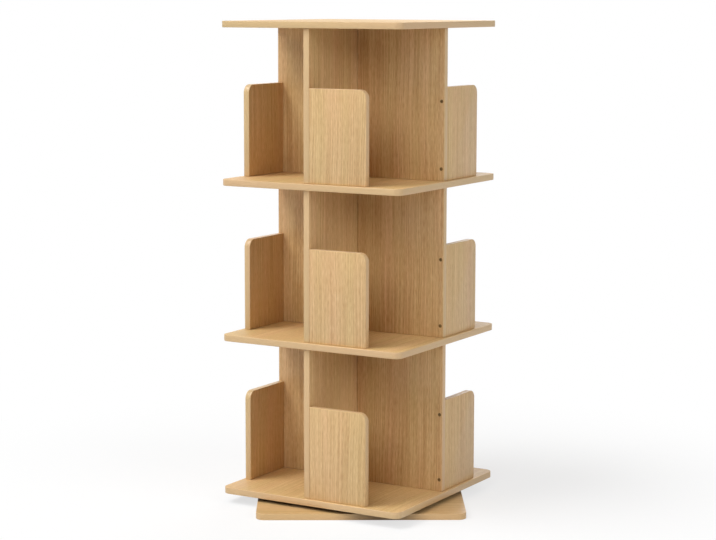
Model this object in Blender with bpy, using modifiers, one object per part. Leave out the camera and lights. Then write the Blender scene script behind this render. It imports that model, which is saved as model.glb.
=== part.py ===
"""Revolving bookcase: three tiers of uprights in a pinwheel, with book stops, on a ball-bearing swivel.

Metres, +Z up. The origin is on the floor, on the axis that the stack turns about.
"""

import math

import bmesh
import bpy
from mathutils import Matrix, Vector

# Square boards of the stack
SHELF_SIDE = 0.480
SHELF_THICKNESS = 0.015
SHELF_CORNER_RADIUS = 0.020
BAY_HEIGHT = 0.352

# Uprights, whose outer ends stand back from the edge of the shelves
UPRIGHT_THICKNESS = 0.015
UPRIGHT_SETBACK = 0.008

# Book stops, one at the outer end of each upright
STOP_THICKNESS = 0.015
STOP_WIDTH = 0.150
STOP_HEIGHT = 0.217
STOP_CORNER_RADIUS = 0.020

# Base board on the floor, turned against the stack
BASE_SIDE = 0.486
BASE_THICKNESS = 0.015
BASE_CORNER_RADIUS = 0.020
BASE_TURN = math.radians(31.1)

# Soft edge of every board, and the gap that touching pieces keep
EDGE_EASE = 0.001
SEAT_GAP = 0.0003

# Dowels in both ends of an upright
DOWEL_DIAMETER = 0.008
DOWEL_COVER = 0.005
DOWEL_END_INSET = 0.040
DOWEL_STAGGER = 0.020

# Countersunk screws through the uprights into the stops
STOP_SCREW_HEAD_DIAMETER = 0.008
STOP_SCREW_SHANK_DIAMETER = 0.004
STOP_SCREW_BITE = 0.025
STOP_SCREW_TIP = 0.004
STOP_SCREW_FOOT_INSET = 0.028
STOP_SCREW_TOP_INSET = 0.033

# Swivel between the base and the bottom shelf
BALL_CIRCLE_RADIUS = 0.053
BALL_DIAMETER = 0.004
BALL_COUNT = 14
RACE_HALF_GAP = 0.001
RING_LIP = 0.0012
RING_RUNNING_GAP = 0.001
OUTER_RING_WIDTH = 0.016
INNER_RING_WIDTH = 0.014
CAGE_THICKNESS = 0.0008
CAGE_HEIGHT = 0.0026

# Screws that hold the swivel's rings
RING_SCREW_COUNT = 4
RING_SCREW_HEAD_DIAMETER = 0.007
RING_SCREW_SHANK_DIAMETER = 0.0035
RING_SCREW_BITE = 0.010

# Facets
CORNER_SEGMENTS = 6
RING_STEPS = 48
SCREW_STEPS = 10
DOWEL_SEGMENTS = 8
GROOVE_SEGMENTS = 6
BALL_SEGMENTS = 8
BALL_RINGS = 6
MERGE_DISTANCE = 0.00001
CREASE_ANGLE = math.radians(35)

# Places that follow from the sizes
UPRIGHT_REACH = SHELF_SIDE / 2 - UPRIGHT_SETBACK
DOWEL_REACH = SHELF_THICKNESS - DOWEL_COVER
LOWER_DOWELS = (DOWEL_END_INSET, UPRIGHT_REACH - DOWEL_END_INSET - DOWEL_STAGGER)
UPPER_DOWELS = tuple(distance + DOWEL_STAGGER for distance in LOWER_DOWELS)
STOP_SCREW_HEIGHTS = (STOP_SCREW_FOOT_INSET, STOP_HEIGHT - STOP_SCREW_TOP_INSET)
GROOVE_RADIUS = BALL_DIAMETER / 2 + SEAT_GAP
GROOVE_HALF_ANGLE = math.acos(RACE_HALF_GAP / GROOVE_RADIUS)
RACE_HALF_HEIGHT = GROOVE_RADIUS * math.sin(GROOVE_HALF_ANGLE) + RING_LIP
SWIVEL_HEIGHT = 2 * (RACE_HALF_HEIGHT + RING_RUNNING_GAP)
BOTTOM_SHELF_Z = BASE_THICKNESS + SWIVEL_HEIGHT
TIER_PITCH = BAY_HEIGHT + SHELF_THICKNESS
BALL_Z = BASE_THICKNESS + SWIVEL_HEIGHT / 2
QUARTER_TURN = math.pi / 2

TIERS = ("bottom", "middle", "top")
SIDES = ("front", "right", "back", "left")
SHELVES = ("bottom_shelf", "lower_shelf", "upper_shelf", "top_panel")


def clear_scene():
    """Remove everything that the scene holds."""
    for old in list(bpy.data.objects):
        bpy.data.objects.remove(old)


def add_collection(name):
    """A new collection under the scene's own."""
    collection = bpy.data.collections.new(name)
    bpy.context.scene.collection.children.link(collection)
    return collection


def add_material(name, colour, roughness, metallic=0.0):
    """A plain finish of one colour."""
    material = bpy.data.materials.new(name)
    material.use_nodes = True
    shader = material.node_tree.nodes["Principled BSDF"]
    shader.inputs["Base Color"].default_value = (*colour, 1.0)
    shader.inputs["Roughness"].default_value = roughness
    shader.inputs["Metallic"].default_value = metallic
    return material


def mesh_of(edit, name):
    """Turn an edited mesh into mesh data, with smooth rounds and sharp creases."""
    mesh = bpy.data.meshes.new(name)
    edit.to_mesh(mesh)
    edit.free()
    mesh.shade_smooth()
    mesh.set_sharp_from_angle(angle=CREASE_ANGLE)
    return mesh


def settle(obj):
    """The mesh that an object's modifiers make. The object itself is removed."""
    bpy.context.view_layer.update()
    graph = bpy.context.evaluated_depsgraph_get()
    mesh = bpy.data.meshes.new_from_object(obj.evaluated_get(graph))
    bpy.data.objects.remove(obj)
    mesh.shade_smooth()
    mesh.set_sharp_from_angle(angle=CREASE_ANGLE)
    return mesh


def board(name, low, high, is_rounded=None, radius=0.0):
    """A box from low to high. The edges that is_rounded picks get the radius, the others are eased."""
    low = Vector(low)
    size = Vector(high) - low
    edit = bmesh.new()
    bmesh.ops.create_cube(edit, size=1.0)
    for vert in edit.verts:
        vert.co = low + (vert.co + Vector((0.5, 0.5, 0.5))) * size
    if is_rounded:
        rounded = [edge for edge in edit.edges if is_rounded(edge)]
        bmesh.ops.bevel(
            edit, geom=rounded, offset=radius, segments=CORNER_SEGMENTS, profile=0.5, affect="EDGES"
        )
    crisp = [edge for edge in edit.edges if edge.calc_face_angle() > CREASE_ANGLE]
    bmesh.ops.bevel(edit, geom=crisp, offset=EDGE_EASE, segments=1, profile=0.5, affect="EDGES")
    return mesh_of(edit, name)


def is_upright_edge(edge):
    """Whether an edge runs along Z."""
    first, second = edge.verts
    return abs(first.co.z - second.co.z) > abs(first.co.x - second.co.x) + abs(first.co.y - second.co.y)


def square_board(name, side, thickness, radius, z_low):
    """A square board about the axis, with rounded corners."""
    half = side / 2
    return board(name, (-half, -half, z_low), (half, half, z_low + thickness), is_upright_edge, radius)


def turned(name, profile, steps, is_closed=False):
    """A shape turned about Z. The profile gives radius and height, down the outer side."""
    edges = [(i, i + 1) for i in range(len(profile) - 1)]
    if is_closed:
        edges.append((len(profile) - 1, 0))
    outline = bpy.data.meshes.new(name)
    outline.from_pydata([(radius, 0.0, z) for radius, z in profile], edges, [])
    obj = bpy.data.objects.new(name, outline)
    bpy.context.scene.collection.objects.link(obj)
    screw = obj.modifiers.new("turn", "SCREW")
    screw.steps = steps
    screw.render_steps = steps
    screw.use_merge_vertices = True
    screw.merge_threshold = MERGE_DISTANCE
    return settle(obj)


def pins(name, places, diameter, segments):
    """Upright pins in one mesh. Each place is x, y and the pin's lowest and highest z."""
    edit = bmesh.new()
    for x, y, low, high in places:
        bmesh.ops.create_cone(
            edit,
            cap_ends=True,
            segments=segments,
            radius1=diameter / 2,
            radius2=diameter / 2,
            depth=high - low,
            matrix=Matrix.Translation((x, y, (low + high) / 2)),
        )
    return mesh_of(edit, name)


def gathered(name, mesh, places):
    """Copies of a mesh at several places, in one mesh."""
    edit = bmesh.new()
    for place in places:
        piece = mesh.copy()
        piece.transform(place)
        edit.from_mesh(piece)
        bpy.data.meshes.remove(piece)
    return mesh_of(edit, name)


def worked(mesh, steps):
    """Join to a mesh, or cut from it, the mesh of each step in turn. A step is an operation and a mesh."""
    blank = bpy.data.objects.new(mesh.name, mesh)
    bpy.context.scene.collection.objects.link(blank)
    tools = []
    for operation, tool_mesh in steps:
        tool = bpy.data.objects.new(tool_mesh.name, tool_mesh)
        tool.hide_render = True
        tool.display_type = "WIRE"
        cutters.objects.link(tool)
        boolean = blank.modifiers.new(tool.name, "BOOLEAN")
        boolean.operation = operation
        boolean.solver = "EXACT"
        boolean.object = tool
        tools.append(tool)
    result = settle(blank)
    result.name = mesh.name
    for tool in tools:
        bpy.data.objects.remove(tool)
    return result


def add_piece(name, mesh, material, parent, location=(0.0, 0.0, 0.0), turn=0.0):
    """One sub-part of the object, carried by its parent."""
    piece = bpy.data.objects.new(name, mesh)
    piece.location = location
    piece.rotation_euler.z = turn
    piece.parent = parent
    if not mesh.materials:
        mesh.materials.append(material)
    bookcase.objects.link(piece)
    return piece


def countersunk(head_diameter, shank_diameter, length, tip, allowance, mouth):
    """Profile of a countersunk screw, or of its hole, along -Z from the face at z = 0.

    An allowance widens the shape all round, and a mouth carries it out past the face.
    """
    head = head_diameter / 2 + allowance
    shank = shank_diameter / 2 + allowance
    end = -length - allowance
    profile = [(0.0, mouth), (head, mouth)]
    if mouth:
        profile.append((head, 0.0))
    profile += [(shank, shank - head), (shank, end + tip), (0.0, end)]
    return profile


def stop_screw_place(height):
    """A stop screw's place in the front quarter: its axis along X, its head in the upright's free face."""
    face = Vector((-UPRIGHT_THICKNESS, STOP_THICKNESS / 2 - UPRIGHT_REACH, height))
    return Matrix.Translation(face) @ Matrix.Rotation(-QUARTER_TURN, 4, "Y")


def stop_screw_profile(allowance, mouth):
    """A stop screw's profile, or that of its hole."""
    length = UPRIGHT_THICKNESS + STOP_SCREW_BITE
    return countersunk(
        STOP_SCREW_HEAD_DIAMETER, STOP_SCREW_SHANK_DIAMETER, length, STOP_SCREW_TIP, allowance, mouth
    )


def make_stop_screw():
    """A screw in its place in the front quarter, at height 0, sunk just below the face."""
    mesh = turned("stop_screw", stop_screw_profile(0.0, 0.0), SCREW_STEPS)
    mesh.transform(stop_screw_place(0.0) @ Matrix.Translation((0.0, 0.0, -SEAT_GAP)))
    return mesh


def make_stop_screw_cutter():
    """Both screw holes of one stop and its upright."""
    hole = turned("stop_screw_hole", stop_screw_profile(SEAT_GAP, UPRIGHT_THICKNESS), SCREW_STEPS)
    return gathered("stop_screw_holes", hole, [stop_screw_place(height) for height in STOP_SCREW_HEIGHTS])


def make_upright(screw_holes):
    """The front upright, standing on the shelf's top at z = 0, with its dowels glued in."""
    low = (-UPRIGHT_THICKNESS, -UPRIGHT_REACH, SEAT_GAP)
    high = (0.0, -SEAT_GAP, BAY_HEIGHT - SEAT_GAP)
    blank = board("upright", low, high)
    middle = -UPRIGHT_THICKNESS / 2
    places = [(middle, -y, -DOWEL_REACH, DOWEL_REACH) for y in LOWER_DOWELS]
    places += [(middle, -y, BAY_HEIGHT - DOWEL_REACH, BAY_HEIGHT + DOWEL_REACH) for y in UPPER_DOWELS]
    dowels = pins("dowels", places, DOWEL_DIAMETER, DOWEL_SEGMENTS)
    return worked(blank, [("UNION", dowels), ("DIFFERENCE", screw_holes)])


def make_stop(screw_holes):
    """The front upright's book stop, standing on the shelf's top at z = 0."""
    low = (SEAT_GAP, -UPRIGHT_REACH, SEAT_GAP)
    high = (STOP_WIDTH, STOP_THICKNESS - UPRIGHT_REACH, STOP_HEIGHT)

    def is_outer_top(edge):
        return all(vert.co.x > STOP_WIDTH / 2 and vert.co.z > STOP_HEIGHT / 2 for vert in edge.verts)

    blank = board("stop", low, high, is_outer_top, STOP_CORNER_RADIUS)
    return worked(blank, [("DIFFERENCE", screw_holes)])


def dowel_holes(name, distances, low, high):
    """Holes for the dowels of all four uprights of a tier."""
    middle = -UPRIGHT_THICKNESS / 2
    places = []
    for quarter in range(len(SIDES)):
        turn = Matrix.Rotation(quarter * QUARTER_TURN, 2)
        for distance in distances:
            x, y = turn @ Vector((middle, -distance))
            places.append((x, y, low, high))
    return pins(name, places, DOWEL_DIAMETER + 2 * SEAT_GAP, DOWEL_SEGMENTS)


def make_shelf(name, has_tier_above, has_tier_below, other_holes=None):
    """A square board of the stack, underside at z = 0, drilled for the dowels that enter it."""
    depth = DOWEL_REACH + SEAT_GAP
    blank = square_board(name, SHELF_SIDE, SHELF_THICKNESS, SHELF_CORNER_RADIUS, 0.0)
    steps = []
    if has_tier_above:
        holes = dowel_holes("holes_above", LOWER_DOWELS, SHELF_THICKNESS - depth, 2 * SHELF_THICKNESS)
        steps.append(("DIFFERENCE", holes))
    if has_tier_below:
        holes = dowel_holes("holes_below", UPPER_DOWELS, -SHELF_THICKNESS, depth)
        steps.append(("DIFFERENCE", holes))
    if other_holes:
        steps.append(("DIFFERENCE", other_holes))
    return worked(blank, steps)


def groove(side):
    """Points of the ball groove, from bottom to top, in the wall on the outer (1) or inner (-1) side."""
    points = []
    for i in range(GROOVE_SEGMENTS + 1):
        angle = GROOVE_HALF_ANGLE * (2 * i / GROOVE_SEGMENTS - 1)
        radius = BALL_CIRCLE_RADIUS + side * GROOVE_RADIUS * math.cos(angle)
        points.append((radius, BALL_Z + GROOVE_RADIUS * math.sin(angle)))
    return points


def ring_screw_cutter(name, circle_radius, face_z, points_up):
    """Countersunk holes of a ring, with their pilot holes in the board that carries it."""
    length = SWIVEL_HEIGHT - RING_RUNNING_GAP + RING_SCREW_BITE
    profile = countersunk(
        RING_SCREW_HEAD_DIAMETER, RING_SCREW_SHANK_DIAMETER, length, 0.0, SEAT_GAP, RING_RUNNING_GAP / 2
    )
    hole = turned(name, profile, SCREW_STEPS)
    flip = Matrix.Identity(4) if points_up else Matrix.Rotation(math.pi, 4, "X")
    places = []
    for i in range(RING_SCREW_COUNT):
        angle = 2 * math.pi * i / RING_SCREW_COUNT
        x = circle_radius * math.cos(angle)
        y = circle_radius * math.sin(angle)
        places.append(Matrix.Translation((x, y, face_z)) @ flip)
    return gathered(name, hole, places)


def make_outer_ring(screw_holes):
    """Swivel ring on the base, with the ball groove in its inner wall."""
    low = BASE_THICKNESS + SEAT_GAP
    high = BOTTOM_SHELF_Z - RING_RUNNING_GAP
    inside = BALL_CIRCLE_RADIUS + RACE_HALF_GAP
    outside = inside + OUTER_RING_WIDTH
    profile = [(outside, high), (outside, low), (inside, low), *groove(1), (inside, high)]
    return worked(turned("outer_ring", profile, RING_STEPS, True), [("DIFFERENCE", screw_holes)])


def make_inner_ring(screw_holes):
    """Swivel ring under the bottom shelf, with the ball groove in its outer wall."""
    low = BASE_THICKNESS + RING_RUNNING_GAP
    high = BOTTOM_SHELF_Z - SEAT_GAP
    outside = BALL_CIRCLE_RADIUS - RACE_HALF_GAP
    inside = outside - INNER_RING_WIDTH
    profile = [(outside, high), *reversed(groove(-1)), (outside, low), (inside, low), (inside, high)]
    return worked(turned("inner_ring", profile, RING_STEPS, True), [("DIFFERENCE", screw_holes)])


def make_ball_cage():
    """Thin ring between the races, with the balls that it spaces apart."""
    outside = BALL_CIRCLE_RADIUS + CAGE_THICKNESS / 2
    inside = BALL_CIRCLE_RADIUS - CAGE_THICKNESS / 2
    low = BALL_Z - CAGE_HEIGHT / 2
    high = BALL_Z + CAGE_HEIGHT / 2
    profile = [(outside, high), (outside, low), (inside, low), (inside, high)]
    cage = turned("ball_cage", profile, RING_STEPS, True)
    edit = bmesh.new()
    for i in range(BALL_COUNT):
        angle = 2 * math.pi * i / BALL_COUNT
        centre = (BALL_CIRCLE_RADIUS * math.cos(angle), BALL_CIRCLE_RADIUS * math.sin(angle), BALL_Z)
        bmesh.ops.create_uvsphere(
            edit,
            u_segments=BALL_SEGMENTS,
            v_segments=BALL_RINGS,
            radius=BALL_DIAMETER / 2,
            matrix=Matrix.Translation(centre) @ Matrix.Rotation(angle, 4, "Z"),
        )
    return worked(cage, [("UNION", mesh_of(edit, "balls"))])


def add_axis(name, z, turn=0.0):
    """An empty on the turning axis, which carries pieces."""
    axis = bpy.data.objects.new(name, None)
    axis.location.z = z
    axis.rotation_euler.z = turn
    bookcase.objects.link(axis)
    return axis


clear_scene()
bookcase = add_collection("revolving_bookcase")
cutters = add_collection("cutters")

shelf_oak = add_material("shelf_oak", (0.62, 0.42, 0.23), 0.5)
upright_oak = add_material("upright_oak", (0.60, 0.41, 0.23), 0.5)
stop_oak = add_material("stop_oak", (0.64, 0.44, 0.25), 0.5)
base_oak = add_material("base_oak", (0.58, 0.38, 0.20), 0.5)
screw_steel = add_material("screw_steel", (0.16, 0.15, 0.14), 0.4, 1.0)
ring_metal = add_material("ring_metal", (0.72, 0.73, 0.74), 0.4, 1.0)
ball_steel = add_material("ball_steel", (0.60, 0.61, 0.62), 0.25, 1.0)

# The base and the swivel's fixed ring
outer_ring_top = BOTTOM_SHELF_Z - RING_RUNNING_GAP
outer_ring_middle = BALL_CIRCLE_RADIUS + RACE_HALF_GAP + OUTER_RING_WIDTH / 2
base_axis = add_axis("base_axis", 0.0, BASE_TURN)
outer_holes = ring_screw_cutter("outer_ring_holes", outer_ring_middle, outer_ring_top, True)
base_blank = square_board("base_board", BASE_SIDE, BASE_THICKNESS, BASE_CORNER_RADIUS, 0.0)
add_piece("base_board", worked(base_blank, [("DIFFERENCE", outer_holes)]), base_oak, base_axis)
add_piece("swivel_outer_ring", make_outer_ring(outer_holes), ring_metal, base_axis)

# The ball cage, which rolls between the rings
cage_axis = add_axis("cage_axis", 0.0)
add_piece("swivel_ball_cage", make_ball_cage(), ball_steel, cage_axis)

# The stack and the swivel's turning ring
inner_ring_low = BASE_THICKNESS + RING_RUNNING_GAP
inner_ring_middle = BALL_CIRCLE_RADIUS - RACE_HALF_GAP - INNER_RING_WIDTH / 2
stack_axis = add_axis("stack_axis", 0.0)
inner_holes = ring_screw_cutter("inner_ring_holes", inner_ring_middle, inner_ring_low, False)
add_piece("swivel_inner_ring", make_inner_ring(inner_holes), ring_metal, stack_axis)

# The square boards, bottom to top
inner_holes.transform(Matrix.Translation((0.0, 0.0, -BOTTOM_SHELF_Z)))
for level, shelf_name in enumerate(SHELVES):
    above = level < len(TIERS)
    below = level > 0
    shelf = make_shelf(shelf_name, above, below, None if below else inner_holes)
    add_piece(shelf_name, shelf, shelf_oak, stack_axis, (0.0, 0.0, BOTTOM_SHELF_Z + level * TIER_PITCH))

# The uprights, stops and screws of each tier, one quarter turn after the other
stop_screw_holes = make_stop_screw_cutter()
upright = make_upright(stop_screw_holes)
stop = make_stop(stop_screw_holes)
stop_screw = make_stop_screw()
for level, tier in enumerate(TIERS):
    floor_z = BOTTOM_SHELF_Z + SHELF_THICKNESS + level * TIER_PITCH
    for quarter, side in enumerate(SIDES):
        turn = quarter * QUARTER_TURN
        name = f"{tier}_{side}"
        add_piece(f"{name}_upright", upright, upright_oak, stack_axis, (0.0, 0.0, floor_z), turn)
        add_piece(f"{name}_stop", stop, stop_oak, stack_axis, (0.0, 0.0, floor_z), turn)
        for end, height in zip(("lower", "upper"), STOP_SCREW_HEIGHTS):
            place = (0.0, 0.0, floor_z + height)
            add_piece(f"{name}_stop_screw_{end}", stop_screw, screw_steel, stack_axis, place, turn)
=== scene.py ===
# %% [markdown]
# # A revolving bookcase in light oak
# The real thing is a stack of four square boards on three tiers of uprights, which turns on a ball-bearing
# swivel over a base board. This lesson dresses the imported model: every visible board gets its rounded edges,
# its veneer and its edge band, and the screws and balls get their finer shapes.
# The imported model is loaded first, because each piece takes its size and place from it.

import math

import bmesh
import bpy
from mathutils import Matrix, Vector


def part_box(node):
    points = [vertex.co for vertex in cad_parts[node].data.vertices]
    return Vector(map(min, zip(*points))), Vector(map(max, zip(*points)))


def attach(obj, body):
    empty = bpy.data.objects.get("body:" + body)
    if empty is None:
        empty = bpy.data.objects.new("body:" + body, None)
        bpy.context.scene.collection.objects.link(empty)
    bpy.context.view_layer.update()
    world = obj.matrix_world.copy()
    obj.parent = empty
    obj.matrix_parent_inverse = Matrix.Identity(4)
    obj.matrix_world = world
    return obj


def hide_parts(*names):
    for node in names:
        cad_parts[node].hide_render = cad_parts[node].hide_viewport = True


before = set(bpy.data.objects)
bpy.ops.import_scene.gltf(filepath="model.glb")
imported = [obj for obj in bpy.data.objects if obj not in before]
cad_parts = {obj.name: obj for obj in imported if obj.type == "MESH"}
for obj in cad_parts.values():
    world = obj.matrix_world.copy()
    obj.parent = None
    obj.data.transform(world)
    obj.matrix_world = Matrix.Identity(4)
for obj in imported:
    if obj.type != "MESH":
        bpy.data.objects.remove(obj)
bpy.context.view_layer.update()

# %% [markdown]
# ## The camera
# The photograph was taken with a long lens from a little above the top panel, with its upright lines nearly
# straightened. A large lens shift would repeat that to the pixel, but every other view keeps the shift and
# would lose the top of the case. So most of it is a tilt here, which moves edges by a pixel or two. The
# place, tilt and lens were fitted to the edges of the boards.

# %% Camera
CAMERA_PLACE = Vector((2.35545, -4.02310, 1.19553))
CAMERA_HEADING = math.radians(30.41930)
CAMERA_PITCH = math.radians(7.15828)
CAMERA_ROLL = math.radians(0.10224)
SENSOR_WIDTH = 36.0
FOCAL_LENGTH = 99.0592
LENS_SHIFT = -0.03631

lens = bpy.data.cameras.new("camera")
lens.sensor_width = SENSOR_WIDTH
lens.lens = FOCAL_LENGTH
lens.shift_y = LENS_SHIFT
camera = bpy.data.objects.new("camera", lens)
bpy.context.scene.collection.objects.link(camera)
heading = Matrix.Rotation(CAMERA_HEADING, 4, "Z")
tilt = Matrix.Rotation(math.pi / 2 - CAMERA_PITCH, 4, "X")
roll = Matrix.Rotation(CAMERA_ROLL, 4, "Z")
camera.matrix_world = Matrix.Translation(CAMERA_PLACE) @ heading @ tilt @ roll
bpy.context.scene.camera = camera
print("camera", round(CAMERA_PLACE.length, 3), "m from the foot of the axis")

# %% [markdown]
# ## Helpers for node trees
# Every tree below, of geometry or of a finish, is built from the same few steps: make a node, set it, and
# feed its inputs with a value or with another node's output. The nodes could be added by hand in the editor,
# but a script can be read, changed and run again. Sums and mixes of colour come up so often that each has a
# helper of its own.

# %% Helpers for node trees
def feed(tree, node, inputs):
    """Give a node's inputs, by name or number, a value or another node's output."""
    for name, value in inputs.items():
        if isinstance(value, bpy.types.NodeSocket):
            tree.links.new(value, node.inputs[name])
        else:
            node.inputs[name].default_value = value


def put(tree, kind, inputs=None, **settings):
    """A new node of this kind, set and fed."""
    node = tree.nodes.new(kind)
    for name, value in settings.items():
        setattr(node, name, value)
    feed(tree, node, inputs or {})
    return node


def math_node(tree, operation, first, second=0.0, third=0.0):
    """The output of one sum."""
    return put(tree, "ShaderNodeMath", {0: first, 1: second, 2: third}, operation=operation).outputs[0]


def mixed_colour(tree, share, first, second, blend="MIX"):
    """The output of a mix of two colours, which a Mix node takes at inputs 6 and 7 and gives at output 2."""
    mix = put(tree, "ShaderNodeMix", {0: share, 6: first, 7: second}, data_type="RGBA", blend_type=blend)
    return mix.outputs[2]


def add_sockets(tree, in_out, sockets):
    """Named sockets on a group. Each is a name, a type and, for an input, its usual value."""
    for name, kind, *usual in sockets:
        socket = tree.interface.new_socket(name=name, in_out=in_out, socket_type="NodeSocket" + kind)
        if usual:
            socket.default_value = usual[0]


# %% [markdown]
# ## Floor and backdrop
# The photograph stands on plain white. More light on a pale floor could give that, but it would bleach the
# wood as well. So the white is only what the camera and reflections see, picked out by the kind of ray. To
# the light between surfaces the floor is a little greyer than it looks. Near the foot it mixes its own
# shading into the white, so the shadow there stays.

# %% What sees white
def seen_directly(tree):
    """1 for rays from the camera and for reflections, 0 for the light between surfaces."""
    path = put(tree, "ShaderNodeLightPath")
    either = math_node(tree, "MAXIMUM", path.outputs["Is Camera Ray"], path.outputs["Is Glossy Ray"])
    return math_node(tree, "MAXIMUM", either, path.outputs["Is Transmission Ray"])


# %% Floor finish
WHITE = (1.0, 1.0, 1.0, 1.0)
FLOOR_WHITE = 0.92
FLOOR_RETURN = 0.81
SHADOW_SHARE = 0.30
SHADOW_NEAR = 0.45
SHADOW_FAR = 1.30

floor_white = bpy.data.materials.new("floor_white")
floor_white.use_nodes = True
tree = floor_white.node_tree
tree.nodes.clear()
seen = seen_directly(tree)
floor_grey = put(tree, "ShaderNodeMapRange", {"Value": seen, "To Min": FLOOR_RETURN, "To Max": FLOOR_WHITE})
diffuse = put(tree, "ShaderNodeBsdfDiffuse", {"Color": floor_grey.outputs[0]})
glow = put(tree, "ShaderNodeEmission", {"Color": WHITE, "Strength": 1.0})
place = put(tree, "ShaderNodeTexCoord")
away = put(tree, "ShaderNodeVectorMath", {0: place.outputs["Object"]}, operation="LENGTH")
whiteness = put(tree, "ShaderNodeMapRange", {
    "Value": away.outputs["Value"],
    "From Min": SHADOW_NEAR,
    "From Max": SHADOW_FAR,
    "To Min": 1.0 - SHADOW_SHARE,
}, interpolation_type="SMOOTHSTEP")
share = math_node(tree, "MULTIPLY", seen, whiteness.outputs[0])
floor_mix = put(tree, "ShaderNodeMixShader", {0: share, 1: diffuse.outputs[0], 2: glow.outputs[0]})
put(tree, "ShaderNodeOutputMaterial", {"Surface": floor_mix.outputs[0]})
print("floor finish:", len(tree.nodes), "nodes")

# %% Floor
FLOOR_HALF = 8.0
# Corners of a rectangle as signs, in the order in which Blender's rectangle numbers them
CORNERS = ((1, 1), (-1, 1), (-1, -1), (1, -1))

floor_mesh = bpy.data.meshes.new("floor")
floor_corners = [(x * FLOOR_HALF, y * FLOOR_HALF, 0.0) for x, y in CORNERS]
floor_mesh.from_pydata(floor_corners, [], [(0, 1, 2, 3)])
floor_mesh.materials.append(floor_white)
floor = bpy.data.objects.new("floor", floor_mesh)
bpy.context.scene.collection.objects.link(floor)
print("floor:", 2 * FLOOR_HALF, "m wide")

# %% [markdown]
# ## World and lamps
# Plain studio light comes from large soft boxes. A surrounding picture could light the case instead, but
# lamps can be placed and weighed one by one. The key lamp stands high on the left, and four weaker ones fill
# in from all sides, because the case is looked at from all round. They are far away, so top and foot get the
# same light. At level 1 a lamp shows the colour of a surface that faces it as it is written, and on an open
# level face the five together come to a little more. The world is white where it is seen, and adds only a
# trace of light.

# %% World
AMBIENT = 0.02

world = bpy.data.worlds.new("white_room")
bpy.context.scene.world = world
world.use_nodes = True
tree = world.node_tree
tree.nodes.clear()
seen = seen_directly(tree)
ambient = put(tree, "ShaderNodeBackground", {"Color": WHITE, "Strength": AMBIENT})
white = put(tree, "ShaderNodeBackground", {"Color": WHITE, "Strength": 1.0})
world_mix = put(tree, "ShaderNodeMixShader", {0: seen, 1: ambient.outputs[0], 2: white.outputs[0]})
put(tree, "ShaderNodeOutputWorld", {"Surface": world_mix.outputs[0]})
bpy.context.scene.view_settings.view_transform = "Standard"
print("world:", len(tree.nodes), "nodes")

# %% Lamps
LAMPS = {
    "key": {"side": -45.0, "height": 60.0, "level": 0.627},
    "left": {"side": -30.0, "height": 40.0, "level": 0.254},
    "front": {"side": 15.0, "height": 30.0, "level": 0.275},
    "right": {"side": 80.0, "height": 25.0, "level": 0.33},
    "back": {"side": 190.0, "height": 30.0, "level": 0.26},
}
LAMP_AIM = Vector((0.0, 0.0, 0.55))
LAMP_DISTANCE = 12.0
LAMP_SIZE = 6.0
FULL_WATTS = math.pi ** 2 * LAMP_DISTANCE ** 2


def add_lamp(name, side, height, level):
    """A square soft lamp. Its place is in degrees round from the front and up from the floor."""
    lamp = bpy.data.lights.new(name, "AREA")
    lamp.shape = "SQUARE"
    lamp.size = LAMP_SIZE
    lamp.energy = level * FULL_WATTS
    side, height = math.radians(side), math.radians(height)
    away = Vector((math.sin(side) * math.cos(height), -math.cos(side) * math.cos(height), math.sin(height)))
    holder = bpy.data.objects.new(name, lamp)
    bpy.context.scene.collection.objects.link(holder)
    turn = away.to_track_quat("Z", "Y").to_matrix().to_4x4()
    holder.matrix_world = Matrix.Translation(LAMP_AIM + LAMP_DISTANCE * away) @ turn


for lamp_name, lamp_values in LAMPS.items():
    add_lamp(lamp_name, **lamp_values)
print("lamps:", list(LAMPS))

# %% [markdown]
# ## Oak grain
# Straight-grained oak shows broad bands of tone, the fine lines of the growth rings, hairlines of fibre and
# short dark pores, and its hue drifts between yellow and rose. A wave pattern could draw the lines, but it is
# too even for grown wood. All of these run along the grain, so each is a noise that is stretched along it,
# and a slow one makes them wander together. The board's own grain coordinates, in metres, come in from a UV
# map. One group makes the figure for every oak finish, and each finish sets its own colours and amounts.

# %% Measures of the grain, in streaks per metre
STREAKS = {
    "wander": {"along": 3.2, "across": 7.0, "detail": 1.0, "start": 0.0},
    "bands": {"along": 0.8, "across": 42.0, "detail": 2.0, "start": 11.0},
    "lines": {"along": 3.5, "across": 340.0, "detail": 2.0, "start": 23.0},
    "hairs": {"along": 55.0, "across": 800.0, "detail": 2.0, "start": 37.0},
    "pores": {"along": 60.0, "across": 2400.0, "detail": 1.0, "start": 51.0},
    "blush": {"along": 1.4, "across": 24.0, "detail": 1.0, "start": 67.0},
}
WANDER_REACH = 0.014
NOISE_MIDDLE = 0.5
EARLY_WOOD = {"From Min": 0.40, "From Max": 0.62}
PORE_RIM = {"From Min": 0.60, "From Max": 0.68}
HAIR_RELIEF = 0.5
YELLOW_TINT = (0.945, 1.012, 0.925, 1.0)
ROSE_TINT = (1.055, 0.988, 1.075, 1.0)
print("kinds of streak:", list(STREAKS))

# %% Oak grain group
oak_grain = bpy.data.node_groups.new("oak_grain", "ShaderNodeTree")
add_sockets(oak_grain, "INPUT", [
    ("Grain", "Vector"),
    ("Light Oak", "Color", (0.66, 0.45, 0.22, 1.0)),
    ("Dark Oak", "Color", (0.56, 0.36, 0.16, 1.0)),
    ("Pore", "Color", (0.36, 0.21, 0.09, 1.0)),
    ("Bands", "Float", 0.5),
    ("Lines", "Float", 0.9),
    ("Pores", "Float", 0.5),
])
add_sockets(oak_grain, "OUTPUT", [("Colour", "Color"), ("Relief", "Float")])


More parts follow.
